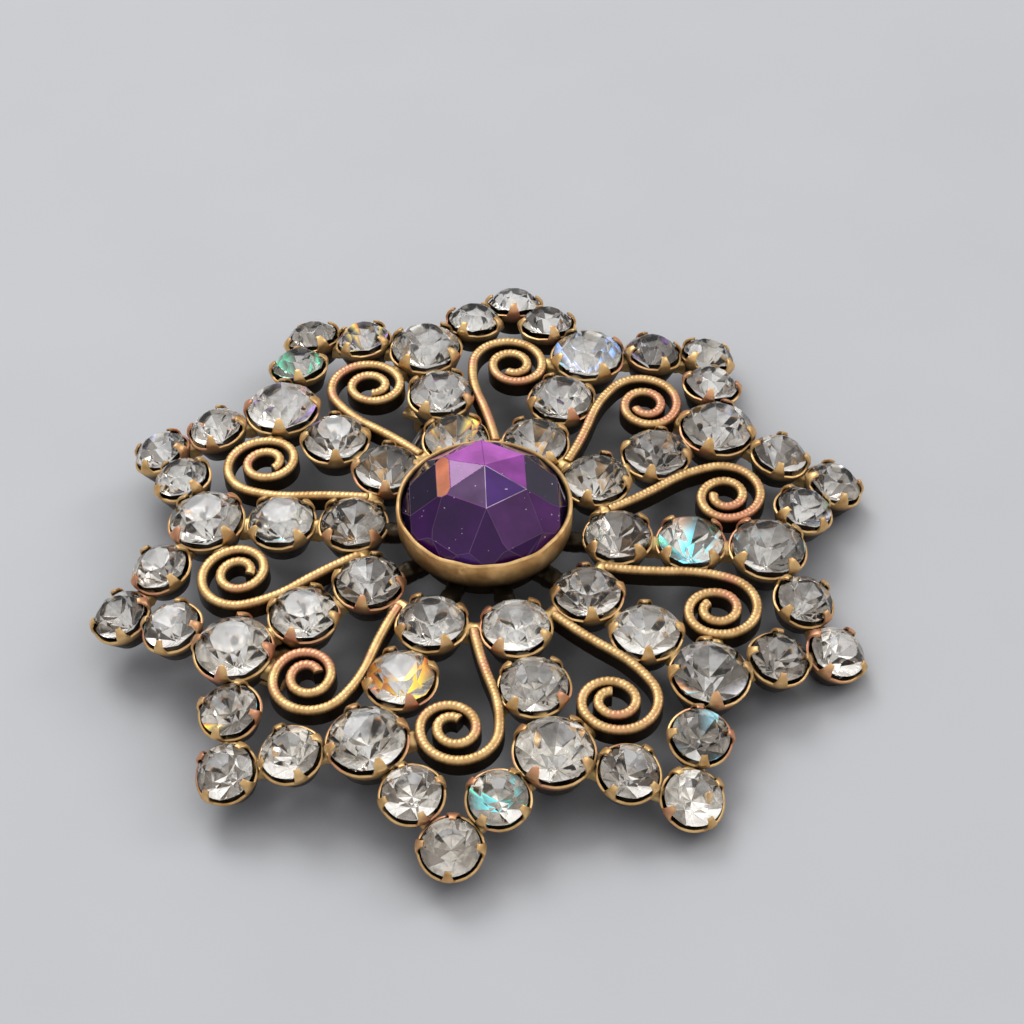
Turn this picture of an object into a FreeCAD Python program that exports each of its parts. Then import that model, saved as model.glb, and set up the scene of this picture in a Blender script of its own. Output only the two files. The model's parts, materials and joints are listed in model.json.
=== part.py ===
import FreeCAD, Part

import math
import os

from FreeCAD import Placement, Rotation, Vector

# A ten-pointed star brooch of soldered prong cups, paste stones and ribbon-wire scrolls round a domed
# purple stone, with a riveted pin and a rolling safety catch on the back.
# Millimetres. +Z points out of the front, one star point lies on +Y, and z = 0 is the lowest face of the catch.

# Star layout
POINTS = 10
SECTOR = 360.0 / POINTS
FIRST_SPOKE = 90.0 + SECTOR / 2

# Stones, measured across the girdle
centre_stone_d = 12.1
ring_stone_d = 4.8
valley_stone_d = 5.4
point_stone_d = 4.1

# Cut of the clear stones, and the flats round a cup
SIDES = 8
table_share = 0.56
crown_share = 0.22
pavilion_share = 0.42

# Cut of the centre stone: a hexagonal pyramid, a belt of kites, a steep foot and a flat back
apex_height = 3.75
hexagon_height = 2.9
hexagon_d = 6.9
hexagon_turn = -82.5
belt_height = 0.95
belt_d = 10.7
centre_girdle = 0.6

# Prong cups
cup_wall = 0.2
cup_floor = 0.35
cup_foot_share = 0.62
notch_depth = 0.75
claw_reach = 0.74
claw_taper = 0.38

# Centre bezel: a drawn cup on a narrower foot, which the inner ring of cups is soldered to
bezel_wall = 0.45
bezel_height = 4.5
bezel_wall_height = 2.3
bezel_foot_d = 10.2
bezel_lip = 0.22
bezel_fit = 0.05
bezel_rise = 2.85
bezel_gap = 0.7

# Gaps at the rims of neighbouring cups, filled below by solder
joint_gap = 0.22
base_gap = 1.4

# Fall of each ring of cups below the innermost one, and how far its cups lean outwards
spoke_drop = 0.22
valley_drop = 0.45
base_drop = 0.95
tip_drop = 2.1
spoke_lean = 1.5
valley_lean = 4.0
base_lean = 14.0
tip_lean = 22.0

# Turn of the prongs on the star points, away from their place between the cup's neighbours
base_turn = 20.0
tip_turn = 45.0

# Scrolls: ribbon wire set on edge and curled in a chain of half circles
ribbon_thickness = 0.75
ribbon_height = 1.5
ribbon_sink = 0.15
scroll_rise = 2.55
eye_inset = 1.5
outer_coil_r = 2.75
middle_coil_r = 1.95
inner_coil_r = 1.35
eye_radius = 0.95
eye_turn = 125.0
start_heading = 14.0
middle_heading = 24.0
chord_turn = 30.0

# Solder
solder_width = 0.8
solder_height = 0.8
solder_depth = 1.05
pad_solder_size = 2.8
pad_solder_rise = 0.25

# Pads that carry the hinge and the catch, under the spokes on both sides of the star point at 162 degrees
pin_side = FIRST_SPOKE + 1.5 * SECTOR
pin_offset = 10.4
hinge_y = 14.6
catch_y = -14.3
pad_length = 5.0
pad_width = 3.6
pad_thickness = 0.4
pad_clearance = 0.05
pad_weld = 0.1

# Pin stem and its rivet
stem_d = 0.8
stem_taper = 5.4
stem_point_d = 0.16
stem_past_catch = 0.6
eye_d = 1.9
eye_width = 1.2
tongue_height = 1.1
tongue_length = 2.4
tongue_taper = 0.6
tongue_tip = 0.7
side_play = 0.05
running_clearance = 0.05
ear_d = 2.1
ear_thickness = 0.5
rivet_d = 0.8
rivet_head_d = 1.5
rivet_head_height = 0.3

# Rolling safety catch: a slotted lock turns inside a slotted barrel
barrel_length = 3.0
barrel_wall = 0.35
barrel_mouth = 0.95
lock_bore_d = 1.0
lock_wall = 0.35
lock_mouth = 0.8
collar_height = 0.22
collar_length = 0.5
tab_d = 1.6
tab_reach = 1.9

# Derived sizes
HALF_SECTOR = SECTOR / 2
bezel_outer_r = centre_stone_d / 2 + bezel_fit + bezel_wall
ring_cup_r = ring_stone_d / 2 + cup_wall
valley_cup_r = valley_stone_d / 2 + cup_wall
point_cup_r = point_stone_d / 2 + cup_wall
lock_outer_r = lock_bore_d / 2 + lock_wall
barrel_inner_r = lock_outer_r + running_clearance
barrel_outer_r = barrel_inner_r + barrel_wall
lock_half_length = barrel_length / 2 + side_play + collar_length


def cup_depth(stone_d):
    return pavilion_share * stone_d + cup_floor


# Heights, from the catch up to the girdles of the innermost ring of stones
stem_z = math.sqrt(barrel_outer_r ** 2 - (barrel_mouth / 2) ** 2)
pad_bottom = stem_z + barrel_outer_r - pad_weld
pad_top = pad_bottom + pad_thickness
valley_dip = valley_cup_r * cup_foot_share * math.sin(math.radians(valley_lean))
deck_z = pad_top + pad_clearance + valley_dip + cup_depth(valley_stone_d) + valley_drop
bezel_top = deck_z + bezel_rise
girdle_top = bezel_top - bezel_lip
stone_bed = girdle_top - centre_girdle
scroll_top = deck_z - ribbon_sink


def polar(radius, degrees, height=0.0):
    angle = math.radians(degrees)
    return Vector(radius * math.cos(angle), radius * math.sin(angle), height)


def ring(radius, height, sides=SIDES, phase=45.0):
    """Corners of a regular polygon about as large as a circle of this radius, a flat facing phase."""
    corner_r = radius / math.cos(math.pi / sides) ** 0.5
    step = 360.0 / sides
    return [polar(corner_r, phase + (k + 0.5) * step, height) for k in range(sides)]


def corners(radius, height, degrees):
    return [polar(radius, angle, height) for angle in degrees]


def facet(points):
    return Part.Face(Part.makePolygon(list(points) + [points[0]]))


def closed_solid(faces):
    solid = Part.Solid(Part.Shell(faces))
    if solid.Volume < 0:
        solid.reverse()
    return solid


def skin(lower, upper):
    """Facets between two rings of corners. The upper ring has as many corners, or half as many."""
    count = len(lower)
    if len(upper) == count:
        return [facet([lower[k], lower[(k + 1) % count], upper[(k + 1) % count], upper[k]])
                for k in range(count)]
    faces = []
    for k, corner in enumerate(upper):
        after = upper[(k + 1) % len(upper)]
        faces.append(facet([lower[2 * k], lower[2 * k + 1], corner]))
        faces.append(facet([lower[2 * k + 1], lower[(2 * k + 2) % count], after, corner]))
    return faces


def cap(points):
    return [facet(points)]


def fan(points, tip):
    return [facet([points[k], points[(k + 1) % len(points)], tip]) for k in range(len(points))]


def frustum(low_r, low, high_r, high):
    bottom = ring(low_r, low)
    top = ring(high_r, high)
    return closed_solid(cap(bottom) + skin(bottom, top) + cap(top))


def placed(shape, placement):
    copy = shape.copy()
    copy.transformShape(placement.toMatrix(), True)
    return copy


# Clear stones

def clear_stone(stone_d):
    """A foiled chaton: flat table, crown, sharp girdle at z = 0 and a pointed pavilion."""
    girdle = ring(stone_d / 2, 0)
    table = ring(stone_d / 2 * table_share, crown_share * stone_d)
    culet = Vector(0, 0, -pavilion_share * stone_d)
    return closed_solid(cap(table) + skin(girdle, table) + fan(girdle, culet))


# Prong cups

def cup_envelope(stone_d):
    """The cup's outer shape below the girdle, with no notches."""
    cup_r = stone_d / 2 + cup_wall
    return frustum(cup_r * cup_foot_share, -cup_depth(stone_d), cup_r, 0)


def notch(cup_r, top):
    """A wedge through the wall between two claws, whose sides lean apart towards the top."""
    half = 180.0 / SIDES
    reach = 2 * cup_r

    def outline(height, widening):
        apex = Vector(-widening / math.sin(math.radians(half)), 0, height)
        right = polar(reach, -half, height) + polar(widening, -half - 90)
        left = polar(reach, half, height) + polar(widening, half + 90)
        return [apex, right, left]

    low = outline(-notch_depth, 0)
    high = outline(top, claw_taper * (top + notch_depth))
    return closed_solid(cap(low) + skin(low, high) + cap(high))


def prong_cup(stone_d):
    """One pressed cup: a tapering bowl with four claws burnished to an edge on the stone's crown."""
    cup_r = stone_d / 2 + cup_wall
    crown = crown_share * stone_d
    tip_r = stone_d / 2 * (1 - (1 - table_share) * claw_reach)
    claws = frustum(cup_r, 0, cup_r - (cup_r - tip_r) / claw_reach, crown)
    gap = notch(cup_r, 2 * crown)
    gaps = [placed(gap, Placement(Vector(), Rotation(Vector(0, 0, 1), 90 * k))) for k in range(4)]
    cup = cup_envelope(stone_d).fuse(claws).cut([clear_stone(stone_d)] + gaps)
    return cup.removeSplitter()


# Places of the cups

def seat(x, y, height, lean, sector_angle, turn=0.0):
    """Where a cup stands: at (x, y) in a sector whose axis points at sector_angle, leaning along it."""
    spin = Rotation(Vector(0, 0, 1), turn)
    tip = Rotation(Vector(0, 1, 0), lean)
    place = Rotation(Vector(0, 0, 1), sector_angle)
    where = place.multVec(Vector(x, y, height))
    return Placement(where, place.multiply(tip).multiply(spin))


ring_r = bezel_outer_r + bezel_gap + ring_cup_r
spoke_r = ring_r + 2 * ring_cup_r + joint_gap
valley_r = spoke_r + ring_cup_r + valley_cup_r + joint_gap


def axis_offset(rim_distance, fall, across):
    """How far along the sector axis a neighbour stands, for a rim distance, a fall and a step across."""
    return math.sqrt(rim_distance ** 2 - fall ** 2 - across ** 2)


half_turn = math.radians(HALF_SECTOR)
valley_x = valley_r * math.cos(half_turn)
valley_y = valley_r * math.sin(half_turn)
base_y = point_cup_r + base_gap / 2
base_x = valley_x + axis_offset(valley_cup_r + point_cup_r + joint_gap,
                                base_drop - valley_drop, valley_y - base_y)
tip_x = base_x + axis_offset(2 * point_cup_r + joint_gap, tip_drop - base_drop, base_y)


def spoke_angle(index):
    return FIRST_SPOKE - index * SECTOR


def point_angle(index):
    return FIRST_SPOKE + HALF_SECTOR - index * SECTOR


def ring_seat(index):
    return seat(ring_r, 0, deck_z, 0, spoke_angle(index))


def spoke_seat(index):
    return seat(spoke_r, 0, deck_z - spoke_drop, spoke_lean, spoke_angle(index))


def valley_seat(index):
    return seat(valley_r, 0, deck_z - valley_drop, valley_lean, spoke_angle(index))


def base_seat(index, side):
    return seat(base_x, side * base_y, deck_z - base_drop, base_lean,
                point_angle(index), side * base_turn)


def tip_seat(index):
    return seat(tip_x, 0, deck_z - tip_drop, tip_lean, point_angle(index), tip_turn)


# Scrolls

class Ribbon:
    """The plan of a ribbon set on edge: tangent arcs of its middle line, drawn in short chords."""

    def __init__(self):
        self.arcs = []

    def arc(self, centre, radius, start, turn, least=1):
        """An arc from the angle start through turn degrees, clockwise if negative."""
        count = max(least, math.ceil(abs(turn) / chord_turn))
        self.arcs.append((centre, radius, [start + turn * k / count for k in range(count + 1)]))

    def side(self, offset):
        """The points of the line that runs beside the middle line, to its left where offset is positive."""
        points = []
        for number, (centre, radius, angles) in enumerate(self.arcs):
            left = offset if angles[1] < angles[0] else -offset
            first = 0 if number == 0 else 1
            points += [centre + polar(radius + left, angle) for angle in angles[first:]]
        return points

    def solid(self):
        half = ribbon_thickness / 2
        return facet(self.side(half) + self.side(-half)[::-1]).extrude(Vector(0, 0, ribbon_height))


scroll_start_x = ring_r * math.cos(half_turn) + solder_width / 4
eye_x = valley_x - eye_inset
coil_centre = Vector(eye_x, scroll_rise - outer_coil_r, 0)


def scroll_plan():
    """The middle line of one scroll, in its sector: X runs outwards, Y to the left."""
    run = eye_x - scroll_start_x
    first = math.radians(start_heading)
    middle = math.radians(middle_heading)
    out_x, out_y = math.sin(middle) - math.sin(first), math.cos(first) - math.cos(middle)
    back_x, back_y = math.sin(middle), 1 - math.cos(middle)
    spread = out_x * back_y - back_x * out_y
    out_radius = (run * back_y - back_x * scroll_rise) / spread
    back_radius = (out_x * scroll_rise - run * out_y) / spread
    start = Vector(scroll_start_x, 0, 0)
    plan = Ribbon()
    plan.arc(start + polar(out_radius, start_heading + 90), out_radius,
             start_heading - 90, middle_heading - start_heading, 3)
    plan.arc(Vector(eye_x, scroll_rise - back_radius, 0), back_radius,
             90 + middle_heading, -middle_heading, 3)
    turns = [(outer_coil_r, 180.0), (middle_coil_r, 180.0), (inner_coil_r, 180.0), (eye_radius, eye_turn)]
    y, side = scroll_rise, 1
    for radius, turn in turns:
        plan.arc(Vector(eye_x, y - side * radius, 0), radius, 90 * side, -turn)
        y -= 2 * side * radius
        side = -side
    return plan


def scroll_seat(index):
    """Scrolls lean outwards with the spokes, about the level of their inner end."""
    pivot = Vector(ring_r * math.cos(half_turn), 0, 0)
    tip = Rotation(Vector(0, 1, 0), spoke_lean)
    spin = Rotation(Vector(0, 0, 1), point_angle(index))
    lift = Vector(0, 0, scroll_top - ribbon_height)
    return Placement(spin.multVec(pivot - tip.multVec(pivot) + lift), spin.multiply(tip))


# Centre

def centre_bezel():
    """A collet with a closed floor, its lip burnished over the stone's girdle."""
    inner_r = centre_stone_d / 2 + bezel_fit
    bottom = bezel_top - bezel_height
    corner = bezel_top - bezel_wall_height
    outline = [(0, bottom), (bezel_foot_d / 2, bottom), (bezel_foot_d / 2, corner),
               (bezel_outer_r, corner), (bezel_outer_r, bezel_top),
               (centre_stone_d / 2 - bezel_lip, bezel_top), (inner_r, girdle_top),
               (inner_r, stone_bed), (0, stone_bed)]
    return facet([Vector(r, 0, z) for r, z in outline]).revolve(Vector(), Vector(0, 0, 1), 360)


def centre_stone():
    """A hexagonal pyramid on a belt of kites, with a steep foot under the lip and a flat back."""
    girdle_r = centre_stone_d / 2
    hexagon_turns = [hexagon_turn + 60 * k for k in range(6)]
    belt_turns = [angle + side * 15 for angle in hexagon_turns for side in (-1, 1)]
    foot_turns = [angle + side * 7.5 for angle in belt_turns for side in (-1, 1)]
    back = corners(girdle_r, stone_bed, foot_turns)
    girdle = corners(girdle_r, girdle_top, foot_turns)
    neck = corners(girdle_r - bezel_lip, bezel_top, foot_turns)
    belt = corners(belt_d / 2, bezel_top + belt_height, belt_turns)
    hexagon = corners(hexagon_d / 2, bezel_top + hexagon_height, hexagon_turns)
    apex = Vector(0, 0, bezel_top + apex_height)
    return closed_solid(cap(back) + skin(back, girdle) + skin(girdle, neck) + skin(neck, belt)
                        + skin(belt, hexagon) + fan(hexagon, apex))


# Solder

def axis_point(where):
    """The point on a cup's axis at the level of its solder."""
    return where.multVec(Vector(0, 0, -solder_depth))


def bead(start, end, joined):
    """A bar of solder from start to end, trimmed by the pieces that it joins."""
    way = end - start
    bar = Part.makeBox(way.Length, solder_width, solder_height,
                       Vector(0, -solder_width / 2, -solder_height / 2))
    yaw = Rotation(Vector(0, 0, 1), math.degrees(math.atan2(way.y, way.x)))
    pitch = Rotation(Vector(0, 1, 0), -math.degrees(math.asin(way.z / way.Length)))
    left = placed(bar, Placement(start, yaw.multiply(pitch))).cut(joined)
    return max(left.Solids, key=lambda solid: solid.Volume)


class Frame:
    """Every cup's place and outer shape, and every scroll, numbered clockwise round the star."""

    def __init__(self):
        shells = {d: cup_envelope(d) for d in (ring_stone_d, valley_stone_d, point_stone_d)}
        ribbon = scroll_plan().solid()
        numbers = range(POINTS)
        self.ring = [(ring_seat(k), ring_stone_d) for k in numbers]
        self.spoke = [(spoke_seat(k), ring_stone_d) for k in numbers]
        self.valley = [(valley_seat(k), valley_stone_d) for k in numbers]
        self.base = [[(base_seat(k, side), point_stone_d) for side in (-1, 1)] for k in numbers]
        self.tip = [(tip_seat(k), point_stone_d) for k in numbers]
        self.scrolls = [placed(ribbon, scroll_seat(k)) for k in numbers]
        self.shells = shells

    def outer(self, cup):
        where, stone_d = cup
        return placed(self.shells[stone_d], where)

    def link(self, first, second, between=()):
        """Solder between two cups, round whatever stands in it."""
        ends = axis_point(first[0]), axis_point(second[0])
        return bead(*ends, [self.outer(first), self.outer(second), *between])

    def scroll_link(self, cup, index, plan_point):
        """Solder from a cup to the point of a scroll that lies nearest to it."""
        start = axis_point(cup[0])
        end = scroll_seat(index).multVec(plan_point)
        end.z = start.z
        return bead(start, end, [self.outer(cup), self.scrolls[index]])


def nearest_on_shank(target):
    """The point of the scroll's open stretch nearest to a point of its sector."""
    plan = scroll_plan()
    reach = [p for p in plan.side(0) if p.x < eye_x]
    return min(reach, key=lambda p: (p - target).Length)


def cup_solder(frame):
    """The beads that join the cups to each other, to the bezel and to the scrolls."""
    beads = []
    shank = nearest_on_shank(polar(spoke_r, HALF_SECTOR))
    coil_way = polar(valley_r, -HALF_SECTOR) - coil_centre
    coil = coil_centre + coil_way * (outer_coil_r / coil_way.Length)
    bezel = centre_bezel()
    for k in range(POINTS):
        before = (k - 1) % POINTS
        inner, spoke, valley = frame.ring[k], frame.spoke[k], frame.valley[k]
        start = axis_point(inner[0])
        beads.append(bead(start, Vector(0, 0, start.z), [frame.outer(inner), bezel]))
        beads.append(frame.link(inner, frame.ring[before], [frame.scrolls[k]]))
        beads.append(frame.link(inner, spoke))
        beads.append(frame.link(spoke, valley))
        right, left = frame.base[k]
        beads.append(frame.link(valley, right))
        beads.append(frame.link(frame.valley[before], left))
        beads.append(frame.link(right, frame.tip[k]))
        beads.append(frame.link(left, frame.tip[k]))
        beads.append(frame.scroll_link(frame.spoke[before], k, shank))
        beads.append(frame.scroll_link(valley, k, coil))
    return beads


# Pin, hinge and catch. X runs out towards the star point, Y along the pin towards its hinge.

pin_frame = Placement(Vector(), Rotation(Vector(0, 0, 1), pin_side))
hinge_centre = Vector(pin_offset, hinge_y, stem_z)
catch_centre = Vector(pin_offset, catch_y, stem_z)
X_AXIS = Vector(1, 0, 0)
Y_AXIS = Vector(0, 1, 0)


def pad(centre):
    """A flat plate above a piece of the pin's hardware."""
    corner = Vector(centre.x - pad_width / 2, centre.y - pad_length / 2, pad_bottom)
    return Part.makeBox(pad_width, pad_length, pad_thickness, corner)


def pad_solder(centre, cups):
    """The pool of solder between a pad and the two cups above it."""
    top = deck_z - spoke_drop - cup_depth(ring_stone_d) + pad_solder_rise
    corner = Vector(centre.x - pad_solder_size / 2, centre.y - pad_solder_size / 2, pad_top)
    pool = Part.makeBox(pad_solder_size, pad_solder_size, top - pad_top, corner)
    left = placed(pool, pin_frame).cut(cups)
    return max(left.Solids, key=lambda solid: solid.Volume)


def along(centre, axis, radius, start, length):
    """A cylinder on an axis through centre, from start on for length."""
    return Part.makeCylinder(radius, length, centre + axis * start, axis)


def ear(x):
    """A rounded plate that hangs from the pad and carries one end of the rivet."""
    radius = ear_d / 2
    y, z = hinge_centre.y, hinge_centre.z
    left, right = Vector(x, y - radius, z), Vector(x, y + radius, z)
    root_left, root_right = Vector(x, y - radius, pad_bottom), Vector(x, y + radius, pad_bottom)
    edges = [Part.makeLine(root_left, left),
             Part.Arc(left, Vector(x, y, z - radius), right).toShape(),
             Part.makeLine(right, root_right),
             Part.makeLine(root_right, root_left)]
    return Part.Face(Part.Wire(edges)).extrude(Vector(ear_thickness, 0, 0))


def hinge_bracket():
    gap = eye_width / 2 + side_play
    ears = [ear(pin_offset + gap), ear(pin_offset - gap - ear_thickness)]
    width = gap + ear_thickness
    bore = along(hinge_centre, X_AXIS, rivet_d / 2, -2 * width, 4 * width)
    return pad(hinge_centre).fuse(ears).cut(bore).removeSplitter()


def hinge_rivet():
    """A headed rivet, drawn as half of its outline and turned about its axis."""
    half = eye_width / 2 + side_play + ear_thickness
    shank_r, head_r = rivet_d / 2, rivet_head_d / 2
    end = half + rivet_head_height
    outline = [(-end, 0), (-end, head_r), (-half, head_r), (-half, shank_r),
               (half, shank_r), (half, head_r), (end, head_r), (end, 0)]
    face = facet([hinge_centre + Vector(x, r, 0) for x, r in outline])
    return face.revolve(hinge_centre, X_AXIS, 360)


def tongue():
    """The flat-sided shank between the eye and the wire, tapered where the wire is let into it."""
    def section(width, height, distance):
        middle = hinge_centre - Y_AXIS * distance
        return [middle + Vector(side * width / 2, 0, level * height / 2)
                for side, level in ((-1, -1), (1, -1), (1, 1), (-1, 1))]

    root = section(eye_width, tongue_height, 0)
    shoulder = section(eye_width, tongue_height, tongue_length)
    tip = section(tongue_tip, tongue_tip, tongue_length + tongue_taper)
    return closed_solid(cap(root) + skin(root, shoulder) + skin(shoulder, tip) + cap(tip))


def pin_stem():
    """A round wire let into the tongue of a hinge eye, with a long taper to its point."""
    eye = along(hinge_centre, X_AXIS, eye_d / 2, -eye_width / 2, eye_width)
    bore_r = rivet_d / 2 + running_clearance
    root = hinge_y - (bore_r + eye_d / 2) / 2
    point = catch_y - lock_half_length - stem_past_catch
    shoulder = point + stem_taper
    outline = [(0, root), (stem_d / 2, root), (stem_d / 2, shoulder), (stem_point_d / 2, point), (0, point)]
    axis_foot = Vector(pin_offset, 0, stem_z)
    wire = facet([axis_foot + Vector(r, y, 0) for r, y in outline]).revolve(axis_foot, Y_AXIS, 360)
    bore = along(hinge_centre, X_AXIS, bore_r, -eye_width, 2 * eye_width)
    return eye.fuse([tongue(), wire]).cut(bore).removeSplitter()


def mouth(width, length):
    """The downward slot in the catch, from its axis out past its wall."""
    depth = 2 * barrel_outer_r
    corner = catch_centre + Vector(-width / 2, -length / 2, -depth)
    return Part.makeBox(width, length, depth, corner)


def catch_barrel():
    tube = along(catch_centre, Y_AXIS, barrel_outer_r, -barrel_length / 2, barrel_length)
    bore = along(catch_centre, Y_AXIS, barrel_inner_r, -barrel_length, 2 * barrel_length)
    body = pad(catch_centre).fuse(tube)
    return body.cut([bore, mouth(barrel_mouth, 2 * barrel_length)]).removeSplitter()


def catch_lock():
    """A slotted tube with a collar at each end and a round thumb tab, open towards the pin at rest."""
    half = lock_half_length
    tube = along(catch_centre, Y_AXIS, lock_outer_r, -half, 2 * half)
    collars = [along(catch_centre, Y_AXIS, lock_outer_r + collar_height, start, collar_length)
               for start in (-half, half - collar_length)]
    tab_centre = catch_centre + Vector(tab_reach, 0, 0)
    tab = along(tab_centre, Y_AXIS, tab_d / 2, -half, collar_length)
    neck = Part.makeBox(tab_reach, collar_length, tab_d / 2, catch_centre + Vector(0, -half, -tab_d / 4))
    bore = along(catch_centre, Y_AXIS, lock_bore_d / 2, -2 * half, 4 * half)
    lock = tube.fuse(collars + [tab, neck]).cut([bore, mouth(lock_mouth, 4 * half)])
    return lock.removeSplitter()


# The whole brooch

def under_pads(frame, centre):
    """The two cups of the spoke that a pad is soldered under."""
    place = pin_frame.multVec(centre)
    angle = math.degrees(math.atan2(place.y, place.x))
    spoke = round((FIRST_SPOKE - angle) / SECTOR) % POINTS
    return [frame.outer(frame.spoke[spoke]), frame.outer(frame.valley[spoke])]


def build():
    frame = Frame()
    sizes = (ring_stone_d, valley_stone_d, point_stone_d)
    cups = {d: prong_cup(d) for d in sizes}
    stones = {d: clear_stone(d) for d in sizes}
    parts = {}
    for k in range(POINTS):
        number = f"{k + 1:02d}"
        groups = {"spoke": [frame.ring[k], frame.spoke[k], frame.valley[k]],
                  "point": [frame.base[k][0], frame.tip[k], frame.base[k][1]]}
        for name, places in groups.items():
            parts[f"{name}_cups_{number}"] = [placed(cups[d], where) for where, d in places]
            parts[f"{name}_stones_{number}"] = [placed(stones[d], where) for where, d in places]
        parts["scroll_" + number] = [frame.scrolls[k]]
    parts["centre_bezel"] = [centre_bezel()]
    parts["centre_stone"] = [centre_stone()]
    pools = [pad_solder(centre, under_pads(frame, centre)) for centre in (hinge_centre, catch_centre)]
    parts["solder_joints"] = cup_solder(frame) + pools
    pin_pieces = {"hinge_bracket": hinge_bracket, "hinge_rivet": hinge_rivet, "pin_stem": pin_stem,
                  "catch_barrel": catch_barrel, "catch_lock": catch_lock}
    for name, make in pin_pieces.items():
        parts[name] = [placed(make(), pin_frame)]
    return parts


def export(parts):
    os.makedirs("parts", exist_ok=True)
    for name, solids in parts.items():
        shape = solids[0] if len(solids) == 1 else Part.makeCompound(solids)
        shape.exportStep(f"parts/{name}.step")


export(build())
print(f"Girdles of the inner ring stand at {deck_z:.3f} mm, the pin's axis at {stem_z:.3f} mm.")
print(f"Rings of cups at {ring_r:.2f}, {spoke_r:.2f} and {valley_r:.2f} mm, points at {tip_x:.2f} mm.")
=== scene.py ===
import json
import math
import random

import bpy
import numpy as np
from mathutils import Matrix, Vector

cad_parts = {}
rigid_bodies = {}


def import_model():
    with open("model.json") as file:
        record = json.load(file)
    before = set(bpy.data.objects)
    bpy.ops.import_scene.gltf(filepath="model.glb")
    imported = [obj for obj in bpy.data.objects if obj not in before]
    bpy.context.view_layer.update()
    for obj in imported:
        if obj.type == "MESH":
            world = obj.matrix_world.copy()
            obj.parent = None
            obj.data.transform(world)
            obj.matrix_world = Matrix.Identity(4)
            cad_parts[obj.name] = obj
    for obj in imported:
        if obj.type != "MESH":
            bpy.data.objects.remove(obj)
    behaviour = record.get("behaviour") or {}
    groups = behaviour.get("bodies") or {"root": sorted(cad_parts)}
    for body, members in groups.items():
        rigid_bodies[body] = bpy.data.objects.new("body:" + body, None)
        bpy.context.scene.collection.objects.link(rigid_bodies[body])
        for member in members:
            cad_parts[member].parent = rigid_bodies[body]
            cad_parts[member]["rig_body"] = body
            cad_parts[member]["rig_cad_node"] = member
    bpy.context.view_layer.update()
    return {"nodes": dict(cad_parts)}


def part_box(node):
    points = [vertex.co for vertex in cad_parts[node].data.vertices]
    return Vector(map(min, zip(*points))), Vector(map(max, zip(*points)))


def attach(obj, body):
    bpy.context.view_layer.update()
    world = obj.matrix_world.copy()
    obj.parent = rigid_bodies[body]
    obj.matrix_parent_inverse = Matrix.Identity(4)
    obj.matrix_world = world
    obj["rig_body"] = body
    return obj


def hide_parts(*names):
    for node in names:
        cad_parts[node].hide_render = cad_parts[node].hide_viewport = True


# Metres, +Z out of the brooch's front. Sizes below are written in millimetres and scaled by MM.
MM = 0.001

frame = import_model()

# Photograph's view
CAMERA_AT = Vector((13.15, -123.10, 138.0)) * MM
CAMERA_YAW = -5.16
CAMERA_DROP = 46.49
CAMERA_ROLL = -0.95
LENS_MM = 85.8

# Cups
CUP_WALL = 0.2 * MM
CUP_SEGMENTS = 40
CUP_FOOT_SHARE = 0.60
CLAW_HALF_TURN = 14.0
RIM_DROP = 0.34 * MM

# Facets of a clear stone whose girdle has radius 1: slope in degrees, then a radius and a height
TABLE_HEIGHT = 0.44
MAIN_FACET = (42, 1.0, 0.03)
STAR_FACET = (26, 0.56, 0.42)
UPPER_FACET = (47, 1.0, 0.03)
PAVILION_FACET = (180 - 41, 0.02, -0.83)
LOWER_FACET = (180 - 43.5, 1.0, -0.03)

# Scrolls: the middle line of the ribbon in a sector whose X axis runs out towards a star point
SCROLL_START = 9.57 * MM
EYE_X = 18.46 * MM
SCROLL_RISE = 2.55 * MM
COIL_RADII = (2.75 * MM, 1.95 * MM, 1.35 * MM)
EYE_RADIUS = 0.95 * MM
EYE_TURN = 125.0
START_HEADING = 14.0
MIDDLE_HEADING = 24.0
RIBBON_WIDTH = 0.75 * MM
RIBBON_HEIGHT = 1.5 * MM
EDGE_ROUND = 0.27 * MM
TOOTH_PITCH = 0.34 * MM
GROOVE = 0.036 * MM
GROOVE_WIDTH_SHARE = 0.94

# Centre stone and bezel
BEZEL_RADIUS = 6.55 * MM
BEZEL_FOOT_RADIUS = 5.1 * MM
BEZEL_WALL_HEIGHT = 2.3 * MM
BEZEL_LIP = 0.22 * MM
STONE_RADIUS = 6.05 * MM
HEXAGON_TURN = -82.5
EMBER_TURN = HEXAGON_TURN + 270
EMBER_SLOPE = 30
EMBER_RADIUS = 2.4 * MM
HEXAGON_RADIUS = 3.45 * MM
HEXAGON_HEIGHT = 2.9 * MM
BELT_RADIUS = 5.62 * MM
BELT_HEIGHT = 0.5 * MM

# Floor, tipped to meet the lowest cups and the catch
FLOOR_SIZE = 3.0
FLOOR_RISE = 1.4 * MM
FLOOR_RUN = 37.0 * MM
FLOOR_TURN = -18.0
FLOOR_LIFT = 0.4 * MM

POINTS = 10
SECTOR = 360.0 / POINTS
FIRST_POINT = 126.0

random.seed(7)


# Helpers for modelling

def deselect():
    if bpy.context.mode != "OBJECT":
        bpy.ops.object.mode_set(mode="OBJECT")
    bpy.ops.object.select_all(action="DESELECT")


def take_up(piece):
    """Makes piece the only selected and active object."""
    deselect()
    piece.select_set(True)
    bpy.context.view_layer.objects.active = piece


def edit(piece, kind="VERT"):
    take_up(piece)
    bpy.ops.object.mode_set(mode="EDIT")
    bpy.ops.mesh.select_mode(type=kind)


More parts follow.
